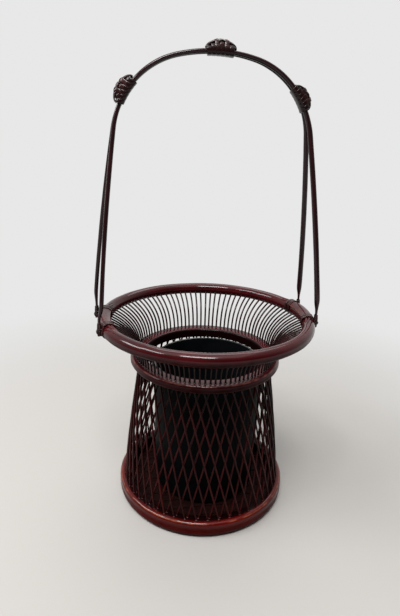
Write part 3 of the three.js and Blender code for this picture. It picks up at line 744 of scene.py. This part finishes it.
spun(liner, LINER_STEPS)
pick(liner, lambda place: place.xy.length < CENTRE_R * 2)
bpy.ops.mesh.edge_face_add()
bpy.ops.object.mode_set(mode="OBJECT")
liner.location = ((liner_least + liner_most) / 2).to_2d().to_3d()
bpy.ops.object.transform_apply()
smoothed(liner, LINER_SMOOTH)
liner_finish, shade = new_finish("moulded_cup")
place = shade.node("ShaderNodeTexCoord", out="Object")
height = shade.node("ShaderNodeSeparateXYZ", None, {0: place}, out="Z")
cloud = shade.noise(place, scale=60, detail=3)
fine = shade.noise(place, scale=1400, detail=2)
# The paler lip: partly wear, partly painted highlight.
worn_and_highlit = shade.band(height, *LINER_WEAR_AND_HIGHLIGHT) * shade.band(cloud, *LINER_WEAR_AND_HIGHLIGHT_PATCHES)
grain = {"Strength": LINER_RELIEF, "Distance": LINER_GRAIN, "Height": fine}
colour = shade.mix(worn_and_highlit, shade.mix(cloud, LINER_DARK, LINER_SHEEN), LINER_WORN_AND_HIGHLIT)
surface = shade.node("ShaderNodeBsdfPrincipled", None, {
    "Base Color": colour,
    "Roughness": LINER_ROUGHNESS + cloud * LINER_ROUGHER,
    "Specular IOR Level": LINER_SPECULAR,
    "Normal": shade.node("ShaderNodeBump", None, grain),
})
shade.node("ShaderNodeOutputMaterial", None, {"Surface": surface})
liner.data.materials.append(liner_finish)
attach(liner, "liner")
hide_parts("liner_cup")

# Handle: two dark canes, bent side by side over the arch. Below the shoulder knots they
# part, and each leg is pared away on its inner side into a tongue that lies against the
# outside of the rim.
CANE_D = 0.0042
CANE_HALF_STEP = 0.002275
HANDLE_TOP = 0.4028
CROWN_R = 0.130
CROWN_ANGLE = math.radians(14)
SHOULDER_R = 0.0675
LEG_BOW = 0.0012
LEG_ANGLE = math.radians(13.125)
LEFT_ANGLE = math.radians(183.75)
LEG_R = 0.1006
LEG_END_Z = 0.203
PARING_END_Z = 0.191
TONGUE_R = 0.0011
TONGUE_OUT = 0.0006
TONGUE_END_Z = 0.1775
ROOT_THICK = 1.20
CROWN_THIN = 0.86
TIP_THIN = 0.88
LEFT_SPREAD = 0.0019
LEFT_BACK_OUT = 0.0012
ARCH_SHIFT = 0.0008
KNOT_TURN = math.radians(56)
KNOT_LENGTH = 0.0204
PARTING_GAP = 0.0022
PARTING_TURN = KNOT_TURN + (KNOT_LENGTH / 2 + PARTING_GAP) / SHOULDER_R
ARCH_STEPS = 28
LEG_STEPS = 12
PARING_STEPS = 4
TONGUE_STEPS = 2
CANE_ROUNDNESS = 5
CANE_SMOOTH = 50
CANE_DYES = ((0.0160, 0.0044, 0.0054, 1), (0.0800, 0.0160, 0.0180, 1))
leg_end = polar(LEG_R, LEG_ANGLE, LEG_END_Z)
shoulder = Vector((
    (CROWN_R - SHOULDER_R) * math.sin(CROWN_ANGLE), 0,
    HANDLE_TOP - CROWN_R + (CROWN_R - SHOULDER_R) * math.cos(CROWN_ANGLE)))
leg_reach = math.hypot(leg_end.x - shoulder.x, leg_end.z - shoulder.z)
LEG_TURN = (math.atan2(leg_end.x - shoulder.x, leg_end.z - shoulder.z)
            - math.acos(SHOULDER_R / leg_reach))


def arch_at(turn):
    """Point on the handle's middle line at a turn from the crown, and the way outwards."""
    size, side = abs(turn), math.copysign(1, turn)
    radius = CROWN_R if size <= CROWN_ANGLE else SHOULDER_R
    centre = Vector((0, 0, HANDLE_TOP - CROWN_R)) if size <= CROWN_ANGLE else shoulder
    outward = Vector((math.sin(size), 0, math.cos(size)))
    point = centre + outward * radius
    return Vector((side * point.x, 0, point.z)), Vector((side * outward.x, 0, outward.z))


PARTING_Z = arch_at(PARTING_TURN)[0].z


def eased(value, low, high):
    share = min(max((value - low) / (high - low), 0), 1)
    return share * share * (3 - 2 * share)


def half_cane(end, side):
    """Points and radii of the right (1) or left (-1) half of the back (1) or front (-1) cane,
    from the crown down to its tongue. The canes are thickest at their right ends. The left
    legs lean apart, the front one inwards and the back one outwards, where its tongue stands
    off the rim, and the arch stands a little to the right."""
    line = [arch_at(LEG_TURN * (i + 1) / ARCH_STEPS)[0] for i in range(ARCH_STEPS)]
    leg_top, leg_foot = line[-1].copy(), Vector((leg_end.x, 0, leg_end.z))
    for i in range(LEG_STEPS):
        share = (i + 1) / LEG_STEPS
        point = leg_top.lerp(leg_foot, share)
        point.x += 4 * LEG_BOW * share * (1 - share)
        line.append(point)
    middle = CANE_D / 2 * CROWN_THIN
    thick = CANE_D / 2 * (ROOT_THICK if end > 0 else TIP_THIN)
    radii = [middle + (thick - middle) * (i + 1) / len(line) for i in range(len(line))]
    angle = side * LEG_ANGLE if end > 0 else LEFT_ANGLE - side * LEG_ANGLE
    foot = polar(LEG_R + (0 if end > 0 else side * LEFT_SPREAD), angle, LEG_END_Z)
    for point in line:
        parted = min(max((PARTING_Z - point.z) / (PARTING_Z - LEG_END_Z), 0), 1)
        moved = (foot.x - end * leg_end.x) * parted + ARCH_SHIFT * (1 - parted)
        point.x = end * point.x + moved
        point.y = side * CANE_HALF_STEP + (foot.y - side * CANE_HALF_STEP) * parted
    out = LEFT_BACK_OUT if (end, side) == (-1, 1) else 0
    tongue = polar(LEG_R + TONGUE_OUT + out, angle, PARING_END_Z)
    for i in range(PARING_STEPS):
        share = (i + 1) / PARING_STEPS
        pared = eased(share, 0, 1)
        point = foot.lerp(tongue, pared)
        point.z = LEG_END_Z + (PARING_END_Z - LEG_END_Z) * share
        line.append(point)
        radii.append(thick + (TONGUE_R - thick) * pared)
    for i in range(TONGUE_STEPS):
        point = tongue.copy()
        point.z += (TONGUE_END_Z - PARING_END_Z) * (i + 1) / TONGUE_STEPS
        line.append(point)
        radii.append(TONGUE_R)
    return line, radii


def cane_along(name, points, radii, roundness=2):
    """A round cane that follows points, with its own radius at each."""
    bpy.ops.object.select_all(action="DESELECT")
    bpy.ops.curve.primitive_nurbs_path_add()
    cane = bpy.context.object
    cane.name = name
    line = cane.data
    line.bevel_depth = 1
    line.bevel_resolution = roundness
    line.resolution_u = 2
    line.use_fill_caps = True
    spline = line.splines[0]
    spline.points.add(len(points) - len(spline.points))
    spline.order_u = 3
    for knot, point, radius in zip(spline.points, points, radii):
        knot.co = (*point, 1)
        knot.radius = radius
    bpy.ops.object.convert(target="MESH")
    cane = bpy.context.object
    pick(cane, lambda place: True)
    bpy.ops.mesh.remove_doubles(threshold=SAME_PLACE)
    bpy.ops.mesh.normals_make_consistent(inside=False)
    bpy.ops.object.mode_set(mode="OBJECT")
    smoothed(cane, CANE_SMOOTH)
    return cane


cane_finish = splint_lacquer("dark_cane", CANE_DYES, along=24, coat=1, gloss=0.12, relief=0.06)
for name, node, side in (("cane_front", "front_cane", -1), ("cane_back", "back_cane", 1)):
    right, right_radii = half_cane(1, side)
    left, left_radii = half_cane(-1, side)
    crown = Vector((ARCH_SHIFT, side * CANE_HALF_STEP, HANDLE_TOP))
    points = [*reversed(left), crown, *right]
    radii = [*reversed(left_radii), CANE_D / 2 * CROWN_THIN, *right_radii]
    cane = cane_along(name, points, radii, CANE_ROUNDNESS)
    hand_bent(cane, wave=0.03, depth=0.0002)
    cane.data.materials.append(cane_finish)
    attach(cane, "basket")
    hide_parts(node)

# Knots on the handle: flat cane peel wound six times round both canes. On the outer side
# three strands run lengthwise and stand up in a dome, and three more cross over them and are
# woven through them in the middle.
CROWN_KNOT_TURN = math.radians(1.3)
WRAP_T = 0.0013
WRAP_OFF = WRAP_T * 0.45
WRAP_COVER = 1.02
WRAP_FULLNESS = 0.45
WRAP_LOOPS = 6
WRAP_STEPS = 40
WRAP_SQUARENESS = 3
DOME_SQUARENESS = 2.2
WRAP_DOME = 0.0034
TUCK_TURNS = 0.2
RUN_W = 0.0031
RUN_T = 0.0010
RUN_STEP = 0.0025
RUN_GATHERED = 0.55
RUN_STANDING = 0.3
RUN_TURNED = 130
RUN_TONES = (0.5, 0.7, 0.9)
STRAND_FULLNESS = 0.6
CROSS_W = 0.0036
CROSS_STEP = 0.0038
CROSS_STEPS = 32
CROSS_TUCK = 0.1
CROSS_TONES = (0.3, 0.6, 0.9)
RUN_DOME = 0.0052
RUN_STEPS = 48
WEAVE = 0.0006
WOVEN_ABOVE = 0.5
WOVEN_HALF = CROSS_STEP * 1.5
PEEL_SIDES = 12
PEEL_INNER = 0.7
BINDING_DYES = ((0.0120, 0.0036, 0.0040, 1), (0.0780, 0.0210, 0.0180, 1))


def peel(width, thickness, fullness=0.7):
    """Section of a strip of cane peel, nearly flat inside and rounded outside. The lower its
    fullness, the squarer its edges."""
    turns = [2 * math.pi * (i + 0.5) / PEEL_SIDES for i in range(PEEL_SIDES)]
    shape = [[math.copysign(abs(v) ** fullness, v) for v in (math.cos(t), math.sin(t))]
             for t in turns]
    return [(a * width / 2, o * thickness / 2 * (1 if o > 0 else PEEL_INNER)) for a, o in shape]


def swept(name, points, outward, section, tone):
    """A strand of one section carried along points, its rounded side turned outward."""
    corners, faces, charts = [], [], []
    last, count = len(points) - 1, len(section)
    for i, point in enumerate(points):
        along = (points[min(i + 1, last)] - points[max(i - 1, 0)]).normalized()
        across = along.cross(outward[i]).normalized()
        up = across.cross(along)
        corners += [point + across * a + up * o for a, o in section]
    for i in range(last):
        for j in range(count):
            k = (j + 1) % count
            here, there = i * count, (i + 1) * count
            faces.append([here + j, here + k, there + k, there + j])
            charts += [(i / last, j / count), (i / last, (j + 1) / count),
                       ((i + 1) / last, (j + 1) / count), ((i + 1) / last, j / count)]
    for ring in (0, last):
        faces.append([ring * count + j for j in range(count)])
        charts += [(ring / last, j / count) for j in range(count)]
    mesh = bpy.data.meshes.new(name)
    mesh.from_pydata(corners, [], faces)
    chart = mesh.uv_layers.new(name="UVMap")
    for corner, spot in zip(chart.data, charts):
        corner.uv = spot
    tones = mesh.attributes.new("tone", "FLOAT", "POINT")
    tones.data.foreach_set("value", [tone] * len(corners))
    strand = bpy.data.objects.new(name, mesh)
    scene.collection.objects.link(strand)
    pick(strand, lambda place: True)
    bpy.ops.mesh.normals_make_consistent(inside=False)
    bpy.ops.object.mode_set(mode="OBJECT")
    smoothed(strand, CANE_SMOOTH)
    return strand


def rounded_loop(angle):
    """Point of a squarish loop with half sizes of 1, rounder on the outer side."""
    c, o = math.cos(angle), math.sin(angle)
    power = DOME_SQUARENESS if o > 0 else WRAP_SQUARENESS
    size = (abs(c) ** power + abs(o) ** power) ** (1 / power)
    return c / size, o / size


def strand_facing(points, centres, ways):
    """Way outwards at each point of a strand that goes round centres on a line."""
    facing = []
    for i, point in enumerate(points):
        ahead = points[min(i + 1, len(points) - 1)] - points[max(i - 1, 0)]
        normal = ways[i].cross(ahead).normalized()
        facing.append(normal if normal.dot(point - centres[i]) > 0 else -normal)
    return facing


def knot(name, middle, half, pitch):
    """Knot with its middle at a turn from the crown, its dome's half length and the pitch of
    its turns."""
    radius = CROWN_R if abs(middle) < CROWN_ANGLE else SHOULDER_R
    half_w = CANE_HALF_STEP + CANE_D / 2 + WRAP_OFF
    half_h = CANE_D / 2 + WRAP_OFF

    def place(along, aside, out):
        point, outward = arch_at(middle + along / radius)
        return point + outward * out + Vector((ARCH_SHIFT, aside, 0)), outward

    def wound(strand, lines, width, thickness, fullness, tone):
        points = [place(*spot)[0] for spot in lines]
        centres = [place(along, 0, 0) for along, aside, out in lines]
        ways = [outward.cross(Vector((0, 1, 0))) for centre, outward in centres]
        facing = strand_facing(points, [centre for centre, outward in centres], ways)
        return swept(strand, points, facing, peel(width, thickness, fullness), tone)

    turns = [i / WRAP_STEPS for i in range(WRAP_LOOPS * WRAP_STEPS + 1)]
    lines = []
    for turn in turns:
        aside, out = rounded_loop(2 * math.pi * turn + math.pi / 2)
        along = (turn - WRAP_LOOPS / 2) * pitch
        tuck = WRAP_T * max(0, 1 - min(turn, WRAP_LOOPS - turn) / TUCK_TURNS)
        high = half_h
        if out > 0:
            high += WRAP_DOME * max(0, 1 - (along / half) ** 2) ** 0.5
        lines.append((along, aside * (half_w - tuck), out * (high - tuck)))
    strands = [wound(name + "_wraps", lines, pitch * WRAP_COVER, WRAP_T, WRAP_FULLNESS, 0)]
    for j, tone in zip((-1, 0, 1), CROSS_TONES):
        along, lines = j * CROSS_STEP, []
        height = half_h + RUN_DOME * (1 - (along / half) ** 2) ** 0.5
        for i in range(CROSS_STEPS + 1):
            half_turns = (1 + 2 * CROSS_TUCK) * i / CROSS_STEPS - CROSS_TUCK
            aside, out = rounded_loop(math.pi * half_turns)
            over = 0
            if out > WOVEN_ABOVE:
                over = WEAVE * math.cos(math.pi * (aside * half_w / RUN_STEP + j))
            lines.append((along, aside * half_w, out * (height if out > 0 else half_h) + over))
        strands.append(wound(name + "_cross", lines, CROSS_W, RUN_T, STRAND_FULLNESS, tone))
    for k, tone in zip((-1, 0, 1), RUN_TONES):
        line, facing = [], []
        for i in range(RUN_STEPS + 1):
            turn = math.pi * (i / RUN_STEPS - 0.5)
            along, arch = half * math.sin(turn), math.cos(turn)
            aside = k * RUN_STEP * (RUN_GATHERED + (1 - RUN_GATHERED) * arch)
            lower = (1 - (abs(aside) / half_w) ** DOME_SQUARENESS) ** (1 / DOME_SQUARENESS)
            over = 0
            if abs(along) <= WOVEN_HALF:
                over = -WEAVE * math.cos(math.pi * (along / CROSS_STEP + k))
            point, outward = place(along, aside, (half_h + RUN_DOME * arch) * lower + over)
            line.append(point)
            handle_way = place(along + WRAP_T, aside, 0)[0] - place(along - WRAP_T, aside, 0)[0]
            steep = handle_way.normalized() * math.sin(turn)
            turned = Vector((0, aside * RUN_TURNED, 0))
            facing.append(outward * (RUN_STANDING + arch) + steep + turned)
        section = peel(RUN_W, RUN_T, STRAND_FULLNESS)
        strands.append(swept(name + "_run", line, facing, section, tone))
    return joined(strands, name)


binding_finish = splint_lacquer(
    "cane_peel", BINDING_DYES, along=30, coat=0.8, gloss=0.2, relief=0.15)
for name, node, middle, half, pitch in (
        ("knot_crown", "crown_knot", CROWN_KNOT_TURN, 0.0116, 0.0036),
        ("knot_left", "left_shoulder_knot", -KNOT_TURN, 0.0112, 0.0034),
        ("knot_right", "right_shoulder_knot", KNOT_TURN, 0.0102, 0.0034)):
    bound = knot(name, middle, half, pitch)
    bound.data.materials.append(binding_finish)
    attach(bound, "basket")
    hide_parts(node)

# Saddles: a flat strip of bamboo laid along the top of the rim at each side, under the
# lashings. Beyond each lashing two pared splints run on along the rim and taper out.
SADDLE_W = 0.0098
SADDLE_T = 0.0010
SADDLE_CROWN_R = 0.009
SADDLE_MIDDLE = math.radians(103)
SADDLE_HALF = math.radians(15.2)
SADDLE_TOP = RIM_TUBE_R + 0.00125
SADDLE_EDGE = 0.0004
SADDLE_STEPS = 20
SADDLE_CROWN_STEPS = 8
SADDLE_SMOOTH = 30
SADDLE_GLOSS = 0.12
SADDLE_RUBBED = [(RIM_R - 0.0060, RIM_Z + 0.0043, 0.0008)]
TAIL_D = 0.0026
TAIL_LENGTH = math.radians(13)
TAIL_RUNS = ((84, 116, 1.0), (110, 127, 0.8))
TAIL_START = SADDLE_HALF * 0.9
TAIL_BEND = 1.3
TAIL_SUNK = 0.0002
TAIL_SINKS = 0.0004
TAIL_TAPER = 0.75
TAIL_STEPS = 12


def on_rim(angle, around, height):
    """Place off the rim's surface at an angle round the basket and one round its tube."""
    reach = RIM_TUBE_R + height
    return polar(RIM_R + reach * math.cos(around), angle, RIM_Z + reach * math.sin(around))


def saddle(name, angle):
    """A strip with its tails, each of which runs from one place round the rim's tube to
    another, in degrees, over a share of the tails' length."""
    half = math.asin(SADDLE_W / 2 / SADDLE_CROWN_R)
    up = Vector((math.cos(SADDLE_MIDDLE), math.sin(SADDLE_MIDDLE)))
    aside = Vector((up.y, -up.x))
    crown = Vector((RIM_R, RIM_Z)) + up * (SADDLE_TOP - SADDLE_CROWN_R)
    turns = [half * (1 - 2 * i / SADDLE_CROWN_STEPS) for i in range(SADDLE_CROWN_STEPS + 1)]
    outer = [crown + (up * math.cos(t) + aside * math.sin(t)) * SADDLE_CROWN_R for t in turns]
    inner = [point - up * SADDLE_T for point in reversed(outer)]
    strip = drawn_section(name, [tuple(p) for p in outer + inner])
    for end in (outer[0], outer[-1]):
        round_corner(strip, tuple(end), SADDLE_EDGE)
    strip.rotation_euler.z = angle - SADDLE_HALF
    alone(strip)
    bpy.ops.object.transform_apply()
    spun(strip, SADDLE_STEPS, 2 * SADDLE_HALF)
    smoothed(strip, SADDLE_SMOOTH)
    parts = [strip]
    for way in (-1, 1):
        for start, end, length in TAIL_RUNS:
            points, radii = [], []
            for i in range(TAIL_STEPS + 1):
                share = i / TAIL_STEPS
                turn = angle + way * (TAIL_START + TAIL_LENGTH * length * share)
                around = math.radians(start + (end - start) * share ** TAIL_BEND)
                points.append(on_rim(turn, around, -TAIL_SUNK - TAIL_SINKS * share))
                radii.append(TAIL_D / 2 * (1 - TAIL_TAPER * share ** 3))
            parts.append(cane_along(name + "_tail", points, radii))
    return joined(parts, name)


saddle_finish = hoop_lacquer(
    "dark_lacquer_saddle", HOOP_DYES, SADDLE_GLOSS, HOOP_BARE_AND_HIGHLIGHT, RIM_FULL, RIM_INSIDE,
    SADDLE_RUBBED)
for name, node, angle in (
        ("saddle_right", "right_saddle", 0), ("saddle_left", "left_saddle", LEFT_ANGLE)):
    strip = saddle(name, angle)
    strip.data.materials.append(saddle_finish)
    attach(strip, "basket")
    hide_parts(node)

# Lashings: two lengths of narrow cane peel, each wound three times tightly round the rim, a
# saddle and a leg's tongue. They cross over the tongue outside and pass between the ribs
# inside. Under the crossing a third length is wound closely round the tongue.
LASH_W = 0.0014
LASH_T = 0.0008
LASH_OFF = LASH_T * 0.4
LASH_STEPS = 96
LASH_EASE = 3
TONGUE_SIDE = 0.0021
CROSSING = math.radians(27)
CROSSING_OFF = LASH_T * 0.9
OUTSIDE_EASE = (0.45, 0.88)
INSIDE_EASE = (0.1, 0.8)
UNDER_INSIDE = (0.0033, 0.0015, -0.0015, -0.0033)
UNDER_LOOPS = ((0.0018, 0.0031), (0.0006, TONGUE_SIDE), (-0.0018, -0.0031))
OVER_INSIDE = (-0.0042, -0.0024, 0.0024, 0.0042)
OVER_LOOPS = ((-0.0030, -0.0043), (-0.0006, -TONGUE_SIDE), (0.0030, 0.0043))
WOUND_HIGH = RIM_Z + 0.0076
WOUND_LOW = RIM_Z - 0.0038
WOUND_LOOPS = 9
WOUND_R = TONGUE_R + LASH_T * 0.3
WOUND_BULGE = 0.0004
WOUND_STEPS = 24
lash_hug = RIM_TUBE_R + LASH_OFF
lash_clear = LEG_R + TONGUE_OUT + TONGUE_R - RIM_R + CROSSING_OFF
plate_aside = SADDLE_W / 2
plate_up = SADDLE_TOP - SADDLE_CROWN_R + (SADDLE_CROWN_R ** 2 - plate_aside ** 2) ** 0.5
plate_half = math.atan2(plate_aside, plate_up)
plate_free = plate_half + math.acos(lash_hug / (math.hypot(plate_aside, plate_up) + LASH_OFF))


def lash_reach(around):
    """Distance of a lashing from the middle of the rim's tube, over the saddle too."""
    off = abs(math.remainder(around - SADDLE_MIDDLE, 2 * math.pi))
    if off < plate_half:
        drop = SADDLE_TOP - SADDLE_CROWN_R
        over = SADDLE_CROWN_R + LASH_OFF
        return drop * math.cos(off) + (over ** 2 - (drop * math.sin(off)) ** 2) ** 0.5
    return lash_hug / math.cos(max(plate_free - off, 0))


def lash_strand(name, angle, inside, loops, lift, tone):
    """One length. Its places aside from the leg are given for each pass inside the rim, and
    for each loop on top and outside. The middle loop crosses over the tongue."""
    points = []
    for i in range(len(loops) * LASH_STEPS + 1):
        loop = min(i // LASH_STEPS, len(loops) - 1)
        around = math.pi * (1 - 2 * (i / LASH_STEPS - loop))
        reach = lash_reach(around)
        top, outside = loops[loop]
        within = inside[loop] if around > 0 else inside[loop + 1]
        if loop == 1:
            share = max(min(around / CROSSING, 1), -1)
            top, outside = top * math.copysign(1, around), outside * share
            reach += (lash_clear + lift - reach) * (1 - share * share)
        aside = top + (outside - top) * eased(math.cos(around), *OUTSIDE_EASE)
        aside += (within - top) * eased(-math.cos(around), *INSIDE_EASE)
        radius = RIM_R + reach * math.cos(around)
        points.append(polar(radius, angle + aside / RIM_R, RIM_Z + reach * math.sin(around)))
    for _ in range(LASH_EASE):
        points[1:-1] = [(a + b * 2 + c) / 4 for a, b, c in zip(points, points[1:], points[2:])]
    centre = polar(RIM_R, angle, RIM_Z)
    sideways = polar(1, angle + math.pi / 2, 0)
    facing = strand_facing(points, [centre] * len(points), [sideways] * len(points))
    return swept(name, points, facing, peel(LASH_W, LASH_T), tone)


def tongue_turns(name, angle, out):
    """The length wound closely round a tongue that stands out by a distance."""
    middle = polar(LEG_R + TONGUE_OUT + out, angle, 0)
    points, facing = [], []
    for i in range(WOUND_LOOPS * WOUND_STEPS + 1):
        share = i / (WOUND_LOOPS * WOUND_STEPS)
        way = polar(1, angle + math.pi + 2 * math.pi * WOUND_LOOPS * share, 0)
        rise = Vector((0, 0, WOUND_LOW + (WOUND_HIGH - WOUND_LOW) * share))
        bulge = WOUND_BULGE * math.sin(math.pi * share)
        points.append(middle + way * (WOUND_R + bulge) + rise)
        facing.append(way)
    return swept(name, points, facing, peel(LASH_W, LASH_T), tone=0.3)


for name, node, angle, out in (
        ("lash_right_back", "right_back_lashing", LEG_ANGLE, 0),
        ("lash_right_front", "right_front_lashing", -LEG_ANGLE, 0),
        ("lash_left_back", "left_back_lashing", LEFT_ANGLE - LEG_ANGLE, LEFT_BACK_OUT),
        ("lash_left_front", "left_front_lashing", LEFT_ANGLE + LEG_ANGLE, 0)):
    lash = joined([
        lash_strand(name, angle, UNDER_INSIDE, UNDER_LOOPS, lift=out, tone=0.5),
        lash_strand(name, angle, OVER_INSIDE, OVER_LOOPS, lift=LASH_T + out, tone=0.7),
        tongue_turns(name, angle, out),
    ], name)
    lash.data.materials.append(binding_finish)
    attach(lash, "basket")
    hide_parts(node)

# Last: nothing is left selected.
bpy.ops.object.select_all(action="DESELECT")
